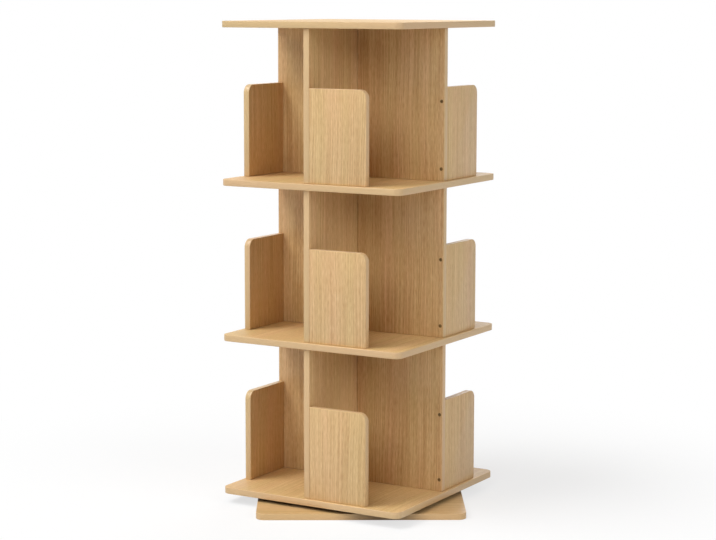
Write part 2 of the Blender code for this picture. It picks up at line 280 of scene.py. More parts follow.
def build_oak_grain(tree):
    """The tone of the wood from its bands, lines and hairs, then its tint, then the pores."""
    given = put(tree, "NodeGroupInput")
    apart = put(tree, "ShaderNodeSeparateXYZ", {0: given.outputs["Grain"]})
    along, across = apart.outputs[0], apart.outputs[1]

    def streaks(kind, sideways):
        rule = STREAKS[kind]
        x = math_node(tree, "MULTIPLY", along, rule["along"])
        y = math_node(tree, "MULTIPLY_ADD", sideways, rule["across"], rule["start"])
        place = put(tree, "ShaderNodeCombineXYZ", {0: x, 1: y})
        noise = put(tree, "ShaderNodeTexNoise", {
            "Vector": place.outputs[0], "Scale": 1.0, "Detail": rule["detail"],
        }, noise_dimensions="2D")
        return noise.outputs[0]

    def centred(value, amount):
        return math_node(tree, "MULTIPLY", math_node(tree, "SUBTRACT", value, NOISE_MIDDLE), amount)

    wander = math_node(tree, "MULTIPLY_ADD", streaks("wander", across), WANDER_REACH, across)
    lines = streaks("lines", wander)
    hairs = streaks("hairs", wander)
    bands_share = centred(streaks("bands", wander), given.outputs["Bands"])
    tone = math_node(tree, "ADD", bands_share, centred(lines, given.outputs["Lines"]))
    tone = math_node(tree, "ADD", tone, centred(hairs, given.outputs["Lines"]))
    tone = put(tree, "ShaderNodeMath", {0: tone, 1: NOISE_MIDDLE}, operation="ADD", use_clamp=True)
    wood = mixed_colour(tree, tone.outputs[0], given.outputs["Light Oak"], given.outputs["Dark Oak"])
    tint = mixed_colour(tree, streaks("blush", wander), YELLOW_TINT, ROSE_TINT)
    wood = mixed_colour(tree, 1.0, wood, tint, "MULTIPLY")
    early = put(tree, "ShaderNodeMapRange", {"Value": lines, **EARLY_WOOD})
    dash = put(tree, "ShaderNodeMapRange", {"Value": streaks("pores", wander), **PORE_RIM})
    pores = math_node(tree, "MULTIPLY", dash.outputs[0], early.outputs[0])
    pores_share = math_node(tree, "MULTIPLY", pores, given.outputs["Pores"])
    pored = mixed_colour(tree, pores_share, wood, given.outputs["Pore"])
    relief = math_node(tree, "SUBTRACT", math_node(tree, "MULTIPLY", hairs, HAIR_RELIEF), pores)
    put(tree, "NodeGroupOutput", {"Colour": pored, "Relief": relief})


build_oak_grain(oak_grain)
print("oak_grain:", len(oak_grain.nodes), "nodes")

# %% [markdown]
# ## Satin finish
# A lacquered or foiled surface is never evenly glossy: handling and the roller leave soft patches. With one
# number for the roughness it would look like plastic. So the group puts out a roughness that drifts about a
# middle value, and wood and metal share it.

# %% Satin finish group
SATIN_DETAIL = 3.0

satin_drift = bpy.data.node_groups.new("satin_drift", "ShaderNodeTree")
add_sockets(satin_drift, "INPUT", [
    ("Middle", "Float", 0.4),
    ("Spread", "Float", 0.1),
    ("Per Metre", "Float", 20.0),
])
add_sockets(satin_drift, "OUTPUT", [("Roughness", "Float")])


def build_satin_drift(tree):
    """Patches of more and less gloss over the object."""
    given = put(tree, "NodeGroupInput")
    place = put(tree, "ShaderNodeTexCoord")
    noise = put(tree, "ShaderNodeTexNoise", {
        "Vector": place.outputs["Object"], "Scale": given.outputs["Per Metre"], "Detail": SATIN_DETAIL,
    })
    drift = math_node(tree, "SUBTRACT", noise.outputs[0], NOISE_MIDDLE)
    rough = math_node(tree, "MULTIPLY_ADD", drift, given.outputs["Spread"], given.outputs["Middle"])
    put(tree, "NodeGroupOutput", {"Roughness": rough})


build_satin_drift(satin_drift)
print("satin_drift:", len(satin_drift.nodes), "nodes")

# %% [markdown]
# ## The oak finishes
# The faces are veneered and the edges carry a band of the same oak, a little plainer, whose grain runs along
# the edge. One material could serve for all, but shelves, uprights, stops and base differ a little in tone.
# So each has its own, made by one function: grain and satin groups feed the shader, and a bump from the pores
# and fibres keeps the surface from looking like paper.

# %% Helpers for finishes
def new_finish(name):
    """A material, its node tree and its shader."""
    material = bpy.data.materials.new(name)
    material.use_nodes = True
    return material, material.node_tree, material.node_tree.nodes["Principled BSDF"]


def bumped(tree, height, strength, depth):
    """The normal of a surface with this relief."""
    return put(tree, "ShaderNodeBump", {"Height": height, "Strength": strength, "Distance": depth}).outputs[0]


# %% Oak materials
GRAIN_MAP = "grain"
OAK_BUMP = 0.12
OAK_BUMP_DEPTH = 0.0004
OAK_SPECULAR = 0.5


def oak_material(name, light, dark, bands, lines, pores, roughness):
    """An oak finish that follows the grain map."""
    material, tree, shader = new_finish(name)
    grain_map = put(tree, "ShaderNodeUVMap", uv_map=GRAIN_MAP)
    grain = put(tree, "ShaderNodeGroup", {
        "Grain": grain_map.outputs[0],
        "Light Oak": (*light, 1.0),
        "Dark Oak": (*dark, 1.0),
        "Bands": bands,
        "Lines": lines,
        "Pores": pores,
    }, node_tree=oak_grain)
    satin = put(tree, "ShaderNodeGroup", {"Middle": roughness}, node_tree=satin_drift)
    feed(tree, shader, {
        "Base Color": grain.outputs["Colour"],
        "Roughness": satin.outputs["Roughness"],
        "Normal": bumped(tree, grain.outputs["Relief"], OAK_BUMP, OAK_BUMP_DEPTH),
        "Specular IOR Level": OAK_SPECULAR,
    })
    return material


shelf_oak = oak_material(
    "shelf_oak_veneer", light=(0.78, 0.55, 0.268), dark=(0.565, 0.336, 0.127),
    bands=0.4, lines=1.05, pores=0.5, roughness=0.50,
)
upright_oak = oak_material(
    "upright_oak_veneer", light=(0.725, 0.51, 0.257), dark=(0.495, 0.275, 0.107),
    bands=0.4, lines=1.4, pores=0.5, roughness=0.38,
)
stop_oak = oak_material(
    "stop_oak_veneer", light=(0.746, 0.533, 0.272), dark=(0.513, 0.292, 0.117),
    bands=0.15, lines=1.2, pores=0.5, roughness=0.38,
)
base_oak = oak_material(
    "base_oak_veneer", light=(0.705, 0.49, 0.24), dark=(0.505, 0.285, 0.105),
    bands=0.4, lines=1.0, pores=0.5, roughness=0.36,
)
oak_band = oak_material(
    "oak_edge_band", light=(0.66, 0.46, 0.243), dark=(0.60, 0.405, 0.208),
    bands=0.4, lines=0.7, pores=0.2, roughness=0.38,
)
base_band = oak_material(
    "base_edge_band", light=(0.65, 0.436, 0.207), dark=(0.588, 0.383, 0.176),
    bands=0.4, lines=0.7, pores=0.2, roughness=0.38,
)
oak_finishes = (shelf_oak, upright_oak, stop_oak, base_oak, oak_band, base_band)
print("oak finishes:", [finish.name for finish in oak_finishes])

# %% [markdown]
# ## The board, as a rule
# Every board in the case is the same idea: a rectangle, some corners rounded, pulled up to its thickness.
# Each could be modelled from a cube, but four sizes of one thing are a rule, so one Geometry Nodes tree makes
# all of them from named sizes. A bevel then softens the rims, as the trimming cutter does after the band is
# glued on.

# %% Board tree
MERGE_REACH = 0.00002
WALL_MARK = "wall"

board_rule = bpy.data.node_groups.new("board_rule", "GeometryNodeTree")
add_sockets(board_rule, "INPUT", [
    ("Length", "Float", 0.4),
    ("Width", "Float", 0.4),
    ("Thickness", "Float", 0.015),
    ("Radius 1", "Float", 0.0),
    ("Radius 2", "Float", 0.0),
    ("Radius 3", "Float", 0.0),
    ("Radius 4", "Float", 0.0),
    ("Segments", "Int", 12),
    ("Veneer", "Material"),
    ("Band", "Material"),
])
add_sockets(board_rule, "OUTPUT", [("Board", "Geometry")])


def rounded_outline(tree, given):
    """The rectangle, each of its corners with its own radius."""
    outline = put(tree, "GeometryNodeCurvePrimitiveQuadrilateral", {
        "Width": given.outputs["Length"], "Height": given.outputs["Width"],
    })
    index = put(tree, "GeometryNodeInputIndex")
    radius = put(tree, "GeometryNodeIndexSwitch", data_type="FLOAT")
    while len(radius.index_switch_items) < len(CORNERS):
        radius.index_switch_items.new()
    tree.links.new(index.outputs[0], radius.inputs["Index"])
    for i in range(len(CORNERS)):
        tree.links.new(given.outputs[f"Radius {i + 1}"], radius.inputs[i + 1])
    return put(tree, "GeometryNodeFilletCurve", {
        "Curve": outline.outputs[0], "Count": given.outputs["Segments"], "Radius": radius.outputs[0],
    }, mode="POLY")


def build_board_rule(tree):
    """Outline, thickness and the two finishes. The middle of the board is at the origin."""
    given = put(tree, "NodeGroupInput")
    outline = rounded_outline(tree, given)
    face = put(tree, "GeometryNodeFillCurve", {"Curve": outline.outputs[0]}, mode="NGONS")
    half = math_node(tree, "MULTIPLY", given.outputs["Thickness"], -0.5)
    drop = put(tree, "ShaderNodeCombineXYZ", {2: half})
    low = put(tree, "GeometryNodeTransform", {"Geometry": face.outputs[0], "Translation": drop.outputs[0]})
    under = put(tree, "GeometryNodeFlipFaces", {"Mesh": low.outputs[0]})
    rise = put(tree, "ShaderNodeCombineXYZ", {2: given.outputs["Thickness"]})
    pulled = put(tree, "GeometryNodeExtrudeMesh", {
        "Mesh": low.outputs[0], "Offset": rise.outputs[0], "Individual": False,
    }, mode="FACES")
    is_wall = put(tree, "GeometryNodeStoreNamedAttribute", {
        "Geometry": pulled.outputs["Mesh"], "Name": WALL_MARK, "Value": pulled.outputs["Side"],
    }, data_type="BOOLEAN", domain="FACE")
    whole = put(tree, "GeometryNodeJoinGeometry")
    tree.links.new(under.outputs[0], whole.inputs[0])
    tree.links.new(is_wall.outputs[0], whole.inputs[0])
    closed = put(tree, "GeometryNodeMergeByDistance", {"Geometry": whole.outputs[0], "Distance": MERGE_REACH})
    real = put(tree, "GeometryNodeRealizeInstances", {"Geometry": closed.outputs[0]})
    veneered = put(tree, "GeometryNodeSetMaterial", {
        "Geometry": real.outputs[0], "Material": given.outputs["Veneer"],
    })
    wall = put(tree, "GeometryNodeInputNamedAttribute", {"Name": WALL_MARK}, data_type="BOOLEAN")
    banded = put(tree, "GeometryNodeSetMaterial", {
        "Geometry": veneered.outputs[0], "Selection": wall.outputs[0], "Material": given.outputs["Band"],
    })
    put(tree, "NodeGroupOutput", {"Board": banded.outputs[0]})


build_board_rule(board_rule)
print("board_rule:", [item.name for item in board_rule.interface.items_tree if item.in_out == "INPUT"])

# %% [markdown]
# ## From rule to mesh
# The tree is only a recipe. It could stay on the object, but the grain map has to be written on a finished
# mesh. So its inputs are set by their identifiers, the result is evaluated once with the bevel, and a plain
# mesh is taken from it. A mesh that nodes make starts with an empty material slot, which is taken out at the
# end.

# %% Helpers that turn a tree into a mesh
CREASE = math.radians(40)


def smooth_with_creases(mesh):
    """Shade a mesh smooth, apart from its sharp edges."""
    mesh.shade_smooth()
    mesh.set_sharp_from_angle(angle=CREASE)


def evaluated_mesh(holder):
    """The plain mesh that an object's modifiers make. The object is removed."""
    bpy.context.view_layer.update()
    mesh = bpy.data.meshes.new_from_object(holder.evaluated_get(bpy.context.evaluated_depsgraph_get()))
    bpy.data.objects.remove(holder)
    while len(mesh.materials) and mesh.materials[0] is None:
        mesh.materials.pop(index=0)
    smooth_with_creases(mesh)
    return mesh


def holder_for(mesh):
    """An object that carries a mesh while modifiers work on it."""
    holder = bpy.data.objects.new("holder", mesh)
    bpy.context.scene.collection.objects.link(holder)
    return holder


def follow_rule(tree, values, mesh=None):
    """An object whose shape a tree makes from named values, and from a mesh where the tree repeats one."""
    holder = holder_for(mesh or bpy.data.meshes.new("holder"))
    rule = holder.modifiers.new("rule", "NODES")
    rule.node_group = tree
    for item in tree.interface.items_tree:
        if item.in_out == "INPUT" and item.name in values:
            rule[item.identifier] = values[item.name]
    return holder


# %% Board mesh
RIM_RADIUS = 0.001
RIM_SEGMENTS = 3
CORNER_SEGMENTS = 12
BAND_SLOT = 2


def board_mesh(length, width, thickness, radii, veneer, band):
    """One board with its rims softened, lying flat with its middle at the origin."""
    values = {"Length": length, "Width": width, "Thickness": thickness, "Segments": CORNER_SEGMENTS}
    values.update({f"Radius {i + 1}": radius for i, radius in enumerate(radii)})
    values.update({"Veneer": veneer, "Band": band})
    holder = follow_rule(board_rule, values)
    bevel = holder.modifiers.new("rims", "BEVEL")
    bevel.width = RIM_RADIUS
    bevel.segments = RIM_SEGMENTS
    bevel.limit_method = "ANGLE"
    bevel.angle_limit = CREASE
    bevel.material = BAND_SLOT
    return evaluated_mesh(holder)


print("rims:", 1000 * RIM_RADIUS, "mm in", RIM_SEGMENTS, "steps, corners in", CORNER_SEGMENTS)

# %% [markdown]
# ## Laying the grain
# A veneer sheet has one grain direction, and the band's grain runs round the edge. The object's coordinates
# can't follow both, so a UV map in metres is written for each board: the first number runs along the grain,
# the second across it. Every board starts at its own place in the figure, so no two look alike.

# %% Way round the edge
def run_round(point, middle, half_length, half_width, radii):
    """How far round the outline a point of the wall lies, from the middle of the +X side.

    The middle is that of the point's face, and tells which side or corner it is on. The arc of a corner is
    stretched to the two straight ends that it replaces.
    """
    half_round = half_length + half_width
    far_corner = half_round + half_length
    corner_runs = (half_width, far_corner, -far_corner, -half_width)
    for (side_x, side_y), corner_run, radius in zip(CORNERS, corner_runs, radii):
        centre = Vector((side_x * (half_length - radius), side_y * (half_width - radius)))
        out = Vector(middle) - centre
        if radius and out.x * side_x > 0 and out.y * side_y > 0:
            turn = math.atan2(point[1] - centre.y, point[0] - centre.x) - math.atan2(side_y, side_x)
            turn = (turn + math.pi) % (2 * math.pi) - math.pi
            return corner_run + radius * turn / (math.pi / 4)
    if half_length - abs(middle[0]) < half_width - abs(middle[1]):
        return point[1] if middle[0] > 0 else -2 * half_round - point[1]
    return half_round - point[0] if middle[1] > 0 else point[0] - half_round


# %% Grain map
FIGURE_STEP_ALONG = 1.37
FIGURE_STEP_ACROSS = 0.23
LEVEL_FACE = 0.99


def lay_grain(mesh, number, half_length, half_width, radii):
    """Write the grain map of a board that lies flat, with its grain along Y."""
    layer = mesh.uv_layers.new(name=GRAIN_MAP)
    start_along = FIGURE_STEP_ALONG * number
    start_across = FIGURE_STEP_ACROSS * number
    for polygon in mesh.polygons:
        is_face = abs(polygon.normal.z) > LEVEL_FACE
        for loop in polygon.loop_indices:
            x, y, z = mesh.vertices[mesh.loops[loop].vertex_index].co
            if is_face:
                place = (y, x + math.copysign(half_length * 2, z))
            else:
                place = (run_round((x, y), polygon.center[:2], half_length, half_width, radii), z)
            layer.uv[loop].vector = (place[0] + start_along, place[1] + start_across)


def oak_board(number, length, width, thickness, radii, veneer, band=oak_band):
    """A finished board, lying flat with its middle at the origin and its grain along Y."""
    mesh = board_mesh(length, width, thickness, radii, veneer, band)
    lay_grain(mesh, number, length / 2, width / 2, radii)
    return mesh


print("each board starts", FIGURE_STEP_ALONG, "m along and", FIGURE_STEP_ACROSS, "m across from the last")

# %% [markdown]
# ## Painted shade under the bottom shelf
# The gap over the base is nearly black in the photograph. Pale oak on both sides would throw light into it,
# so the shade in that gap is painted: the underside of the bottom shelf gets a near-black brown in place of
# its oak. An even noise speckles that painted shade and gives it a slight relief.

# %% Painted shade material
GAP_SHADE_SPECKLE_PER_METRE = 700.0
GAP_SHADE_SPECKLE_DETAIL = 5.0
GAP_SHADE_SPECKLE_CURL = 1.5
# Painted shade: near-black browns that stand in for the shade falling in the gap over the base
GAP_SHADE_DARK = (0.060, 0.026, 0.008, 1.0)
GAP_SHADE_LIGHT = (0.105, 0.048, 0.016, 1.0)
GAP_SHADE_ROUGHNESS = 0.8
GAP_SHADE_BUMP = 0.3
GAP_SHADE_BUMP_DEPTH = 0.0002

painted_gap_shade, tree, shader = new_finish("painted_gap_shade")
place = put(tree, "ShaderNodeTexCoord")
# This noise speckles the painted gap shade and gives it a slight bump
fibres = put(tree, "ShaderNodeTexNoise", {
    "Vector": place.outputs["Object"],
    "Scale": GAP_SHADE_SPECKLE_PER_METRE,
    "Detail": GAP_SHADE_SPECKLE_DETAIL,
    "Distortion": GAP_SHADE_SPECKLE_CURL,
})
feed(tree, shader, {
    "Base Color": mixed_colour(tree, fibres.outputs[0], GAP_SHADE_DARK, GAP_SHADE_LIGHT),
    "Roughness": GAP_SHADE_ROUGHNESS,
    "Normal": bumped(tree, fibres.outputs[0], GAP_SHADE_BUMP, GAP_SHADE_BUMP_DEPTH),
})
print("painted gap shade:", len(tree.nodes), "nodes")

# %% [markdown]
# ## Shelves, top panel and base board
# These are five square boards with rounded corners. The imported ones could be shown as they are, but they
# carry no grain map. So boards from the rule take their place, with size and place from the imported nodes. The
# base board is a little larger and stands turned against the stack. Its grain runs from left to right in the
# photograph.

# %% Helpers that finish a piece
def show(name, mesh, body, slot, *nodes):
    """A finished piece on its body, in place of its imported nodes."""
    mesh.name = name
    piece = bpy.data.objects.new(name, mesh)
    bpy.context.scene.collection.objects.link(piece)
    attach(piece, body)
    if nodes:
        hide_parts(*nodes)


def paint_gap_shade_on_underside(mesh):
    """Paint the shade of the gap over the base onto the underside of a board, as a near-black brown."""
    mesh.materials.append(painted_gap_shade)
    for polygon in mesh.polygons:
        if polygon.normal.z < -LEVEL_FACE:
            polygon.material_index = len(mesh.materials) - 1


# %% Square boards
CORNER_RADIUS = 0.020
ALL_ROUND = (CORNER_RADIUS,) * len(CORNERS)
BASE_SIDE = 0.486
BASE_TURN = math.radians(31.1)

boards_made = 0
for node in ("bottom_shelf", "lower_shelf", "upper_shelf", "top_panel"):
    low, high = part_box(node)
    size = high - low
    mesh = oak_board(boards_made, size.x, size.y, size.z, ALL_ROUND, shelf_oak)
    mesh.transform(Matrix.Translation((low + high) / 2))
    # The bottom shelf's underside carries the painted shade of the gap over the base
    if node == "bottom_shelf":
        paint_gap_shade_on_underside(mesh)
    show(f"{node}_board", mesh, "carousel", "shelf_oak", node)
    boards_made += 1
low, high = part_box("base_board")
mesh = oak_board(boards_made, BASE_SIDE, BASE_SIDE, high.z - low.z, ALL_ROUND, base_oak, base_band)
mesh.transform(Matrix.Translation((low + high) / 2) @ Matrix.Rotation(BASE_TURN + math.pi / 2, 4, "Z"))
show("base_board_oak", mesh, "base", "base_oak", "base_board")
boards_made += 1
print("square boards:", boards_made, "the shelves of", [round(v, 3) for v in size])

# %% [markdown]
# ## Raw board
# Where a drill goes through the veneer, the core of the board shows: pressed wood chips, darker and dull. It
# is only seen in the screw holes, so no chips are modelled, and a speckle in two browns is enough.

# %% Raw board material
CHIPS_PER_METRE = 900.0
CHIP_LIGHT = (0.42, 0.27, 0.13, 1.0)
CHIP_DARK = (0.24, 0.14, 0.06, 1.0)
CHIP_ROUGHNESS = 0.85
CHIP_BUMP = 0.5
CHIP_BUMP_DEPTH = 0.0003

raw_board, tree, shader = new_finish("raw_board")
place = put(tree, "ShaderNodeTexCoord")
chips = put(tree, "ShaderNodeTexVoronoi", {"Vector": place.outputs["Object"], "Scale": CHIPS_PER_METRE})
chip_tone = put(tree, "ShaderNodeSeparateXYZ", {0: chips.outputs["Color"]})
feed(tree, shader, {
    "Base Color": mixed_colour(tree, chip_tone.outputs[0], CHIP_LIGHT, CHIP_DARK),
    "Roughness": CHIP_ROUGHNESS,
    "Normal": bumped(tree, chips.outputs["Distance"], CHIP_BUMP, CHIP_BUMP_DEPTH),
})
print("raw board:", len(tree.nodes), "nodes")

# %% [markdown]
# ## Uprights
# Twelve plain boards with upright grain. Two countersunk holes for the stop's screws go in from the free
# face. They could be built into the board's faces, but a Boolean with a cutter in the shape of the drill is
# closer to the workshop, and brings the raw board into the hole. The first upright is made in the front
# quarter, and the others are quarter turns of it, each with its own figure. All of them are a hair shorter
# than the tier, so that no two faces lie in one plane.

# %% Places of the uprights and their screws
TIERS = ("bottom", "middle", "top")
SIDES = ("front", "right", "back", "left")
ENDS = ("lower", "upper")
FLOORS = [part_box(node)[1].z for node in ("bottom_shelf", "lower_shelf", "upper_shelf")]
CEILINGS = [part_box(node)[0].z for node in ("lower_shelf", "upper_shelf", "top_panel")]
END_GAP = 0.0003

upright_low, upright_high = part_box("bottom_front_upright")
upright_height = CEILINGS[0] - FLOORS[0] - 2 * END_GAP
upright_length = upright_high.y - upright_low.y
upright_thickness = upright_high.x - upright_low.x
stop_low, stop_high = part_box("bottom_front_stop")
screw_y = (stop_low.y + stop_high.y) / 2
screw_heights = []
for end in ENDS:
    low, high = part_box(f"bottom_front_stop_screw_{end}")
    screw_heights.append((low.z + high.z) / 2 - FLOORS[0])
print("screws over the shelf:", [round(1000 * height, 1) for height in screw_heights], "mm")

# %% Helpers for turned shapes
DOUBLE_REACH = 0.000001


def mesh_from(edit, name):
    """A plain mesh out of an edited one, which is freed."""
    mesh = bpy.data.meshes.new(name)
    edit.to_mesh(mesh)
    edit.free()
    return mesh


def turned_mesh(name, profile, steps, closed=False):
    """A shape turned about Z from a profile of radius and height. One that is off the axis is closed."""
    edit = bmesh.new()
    ring = [edit.verts.new((radius, 0.0, z)) for radius, z in profile]
    line = [edit.edges.new(pair) for pair in zip(ring, ring[1:])]
    if closed:
        line.append(edit.edges.new((ring[-1], ring[0])))
    bmesh.ops.spin(edit, geom=ring + line, axis=(0, 0, 1), cent=(0, 0, 0), angle=2 * math.pi, steps=steps)
    bmesh.ops.remove_doubles(edit, verts=edit.verts, dist=DOUBLE_REACH)
    bmesh.ops.recalc_face_normals(edit, faces=edit.faces)
    return mesh_from(edit, name)


# %% Cutter for the screw holes
SCREW_HEAD = 0.008
SCREW_SHANK = 0.004
SCREW_PLAY = 0.0003
HOLE_STEPS = 24
CUTTER_RISE = 0.002


def hole_cutter():
    """Both screw holes of the front upright, relative to the floor of its tier."""
    head = SCREW_HEAD / 2 + SCREW_PLAY
    shank = SCREW_SHANK / 2 + SCREW_PLAY
    foot = -2 * upright_thickness
    outside = [(0.0, CUTTER_RISE), (head, CUTTER_RISE), (head, 0.0)]
    hole = turned_mesh("hole", outside + [(shank, shank - head), (shank, foot), (0.0, foot)], HOLE_STEPS)
    edit = bmesh.new()
    for height in screw_heights:
        copy = hole.copy()
        place = Matrix.Translation((upright_low.x, screw_y, height)) @ Matrix.Rotation(-math.pi / 2, 4, "Y")
        copy.transform(place)
        edit.from_mesh(copy)
    mesh = mesh_from(edit, "holes")
    mesh.materials.append(raw_board)
    return mesh


cutter = holder_for(hole_cutter())
print("hole cutter:", len(cutter.data.polygons), "faces")

# %% Uprights
STAND_UP = Matrix(((0, 0, 1, 0), (1, 0, 0, 0), (0, 1, 0, 0), (0, 0, 0, 1)))
NOT_ROUNDED = (0.0,) * len(CORNERS)

upright_size = (upright_length, upright_height, upright_thickness)
middle = (upright_low + upright_high) / 2
upright_place = Matrix.Translation((middle.x, middle.y, upright_height / 2 + END_GAP)) @ STAND_UP
for tier, floor_z in zip(TIERS, FLOORS):
    for quarter, side in enumerate(SIDES):
        mesh = oak_board(boards_made, *upright_size, NOT_ROUNDED, upright_oak)
        mesh.transform(upright_place)
        drilled = holder_for(mesh)
        boolean = drilled.modifiers.new("holes", "BOOLEAN")
        boolean.object = cutter
        boolean.solver = "EXACT"
        boolean.material_mode = "TRANSFER"
        mesh = evaluated_mesh(drilled)
        mesh.transform(Matrix.Translation((0, 0, floor_z)) @ Matrix.Rotation(quarter * math.pi / 2, 4, "Z"))
        show(f"{tier}_{side}_upright_board", mesh, "carousel", "upright_oak", f"{tier}_{side}_upright")
        boards_made += 1
bpy.data.objects.remove(cutter)
print("uprights:", len(TIERS) * len(SIDES), "with", len(mesh.polygons), "faces each")
print("finishes on one:", [finish.name for finish in mesh.materials])

# %% [markdown]
# ## Book stops
# A stop is a small board on edge with one rounded corner, the outer top one. One stop could be copied round
# the axis, but then all twelve would show the same figure. So the rule makes each of them anew, and the band
# runs over the corner without a break.

# %% Stops
FACE_OUT = Matrix(((1, 0, 0, 0), (0, 0, -1, 0), (0, 1, 0, 0), (0, 0, 0, 1)))
OUTER_CORNER = (CORNER_RADIUS, 0.0, 0.0, 0.0)

size = stop_high - stop_low
middle = (stop_low + stop_high) / 2 - Vector((0, 0, FLOORS[0]))
for tier, floor_z in zip(TIERS, FLOORS):
    for quarter, side in enumerate(SIDES):
        mesh = oak_board(boards_made, size.x, size.z, size.y, OUTER_CORNER, stop_oak)
        mesh.transform(Matrix.Translation(middle) @ FACE_OUT)
        mesh.transform(Matrix.Translation((0, 0, floor_z)) @ Matrix.Rotation(quarter * math.pi / 2, 4, "Z"))
        show(f"{tier}_{side}_stop_board", mesh, "carousel", "stop_oak", f"{tier}_{side}_stop")
        boards_made += 1
print("stops:", len(TIERS) * len(SIDES), "of", [round(v, 3) for v in size])

# %% [markdown]
# ## Turned metal
# Screws and swivel rings are turned, so fine rings from the tool show in the metal. They are too fine to
# model, so one group draws them from the distance to the part's own axis, and lays the dull film of handling
# over the colour in patches. A screw brings that distance in a UV map, because it can lie anywhere, while the
# swivel stands on the object's axis.

# %% Turned metal group
RING_DETAIL = 1.0
PATCHES_PER_METRE = 160.0
PATCH_DETAIL = 4.0
FILM_RIM = {"From Min": 0.42, "From Max": 0.66}

turned_metal = bpy.data.node_groups.new("turned_metal", "ShaderNodeTree")
add_sockets(turned_metal, "INPUT", [
    ("Radius", "Float"),
    ("Rings Per Metre", "Float", 5000.0),
    ("Clean", "Color", (0.6, 0.6, 0.6, 1.0)),
    ("Film", "Color", (0.4, 0.4, 0.4, 1.0)),
])
add_sockets(turned_metal, "OUTPUT", [("Colour", "Color"), ("Relief", "Float")])


def build_turned_metal(tree):
    """Tool marks as rings round an axis, and patches of dull film."""
    given = put(tree, "NodeGroupInput")
    step = math_node(tree, "MULTIPLY", given.outputs["Radius"], given.outputs["Rings Per Metre"])
    rings = put(tree, "ShaderNodeTexNoise", {
        "W": step, "Scale": 1.0, "Detail": RING_DETAIL,
    }, noise_dimensions="1D")
    place = put(tree, "ShaderNodeTexCoord")
    patches = put(tree, "ShaderNodeTexNoise", {
        "Vector": place.outputs["Object"], "Scale": PATCHES_PER_METRE, "Detail": PATCH_DETAIL,
    })
    film = put(tree, "ShaderNodeMapRange", {"Value": patches.outputs[0], **FILM_RIM})
    colour = mixed_colour(tree, film.outputs[0], given.outputs["Clean"], given.outputs["Film"])
    put(tree, "NodeGroupOutput", {"Colour": colour, "Relief": rings.outputs[0]})


build_turned_metal(turned_metal)
print("turned_metal:", len(turned_metal.nodes), "nodes")

# %% [markdown]
# ## The metal finishes
# The stop screws are bronzed steel, the hidden ones are zinc plated, the swivel's rings are aluminium, and
# cage and balls are steel. They differ in colour and gloss alone, so one function makes all five. It is told
# where the tool marks get their distance from: the object's axis, or a screw's own map.

# %% Distance from the axis
TURNING_MAP = "turning"
FLAT = (1.0, 1.0, 0.0)


def radius_from_axis(tree):
    """Distance from the object's own axis."""
    place = put(tree, "ShaderNodeTexCoord")
    flat = put(tree, "ShaderNodeVectorMath", {0: place.outputs["Object"], 1: FLAT}, operation="MULTIPLY")
    return put(tree, "ShaderNodeVectorMath", {0: flat.outputs[0]}, operation="LENGTH").outputs["Value"]


def radius_from_map(tree):
    """Distance from the axis of a screw, out of its UV map."""
    turning = put(tree, "ShaderNodeUVMap", uv_map=TURNING_MAP)
    return put(tree, "ShaderNodeSeparateXYZ", {0: turning.outputs[0]}).outputs[0]


# %% Metal materials
TOOL_MARKS = 0.15
TOOL_MARK_DEPTH = 0.00005
METAL_PATCHES_PER_METRE = 200.0


def metal_material(name, clean, film, roughness, radius):
    """A turned metal whose tool marks follow a distance from an axis."""
    material, tree, shader = new_finish(name)
    metal = put(tree, "ShaderNodeGroup", {
        "Radius": radius(tree), "Clean": (*clean, 1.0), "Film": (*film, 1.0),
    }, node_tree=turned_metal)
    satin = put(tree, "ShaderNodeGroup", {
        "Middle": roughness, "Per Metre": METAL_PATCHES_PER_METRE,
    }, node_tree=satin_drift)
    feed(tree, shader, {
        "Base Color": metal.outputs["Colour"],
        "Roughness": satin.outputs["Roughness"],
        "Normal": bumped(tree, metal.outputs["Relief"], TOOL_MARKS, TOOL_MARK_DEPTH),
        "Metallic": 1.0,
    })
    return material


bronzed_steel = metal_material(
    "bronzed_screw_steel", clean=(0.27, 0.18, 0.08), film=(0.17, 0.11, 0.05),
    roughness=0.45, radius=radius_from_map,
)
zinc_screw = metal_material(
    "zinc_screw", clean=(0.62, 0.61, 0.57), film=(0.42, 0.40, 0.36),
    roughness=0.38, radius=radius_from_map,
)
ring_aluminium = metal_material(
    "ring_aluminium", clean=(0.74, 0.74, 0.73), film=(0.55, 0.55, 0.54),
    roughness=0.34, radius=radius_from_axis,
)
cage_steel = metal_material(
    "cage_steel", clean=(0.56, 0.55, 0.53), film=(0.40, 0.39, 0.37),
    roughness=0.36, radius=radius_from_axis,
)
ball_steel = metal_material(
    "ball_steel_polish", clean=(0.68, 0.68, 0.68), film=(0.58, 0.57, 0.55),
    roughness=0.14, radius=radius_from_axis,
)
for node in ("swivel_outer_ring", "swivel_inner_ring"):
    for material_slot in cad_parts[node].material_slots:
        material_slot.material = ring_aluminium
metals = (bronzed_steel, zinc_screw, ring_aluminium, cage_steel, ball_steel)
print("metals:", [metal.name for metal in metals])

# %% [markdown]
# ## A wood screw
# A countersunk wood screw has a flat head with a cross recess, a cone under it, a plain neck, and a coarse
# thread that runs out in the tip. A plain pin could stand for the part that hides in the wood, but then the
# screw would be no screw once a stop is taken off. The thread is a ridge that climbs one pitch each turn, so
# rings of points whose radius follows that ridge make the body. Two crossed wedges then cut the recess.

# %% Outline of a screw
SCREW_STEPS = 20
THREAD_PITCH = 0.0020
THREAD_CORE = 0.68
RINGS_PER_PITCH = 5
RIDGE_STEEPNESS = 4.0
RIM_LAND = 0.0002


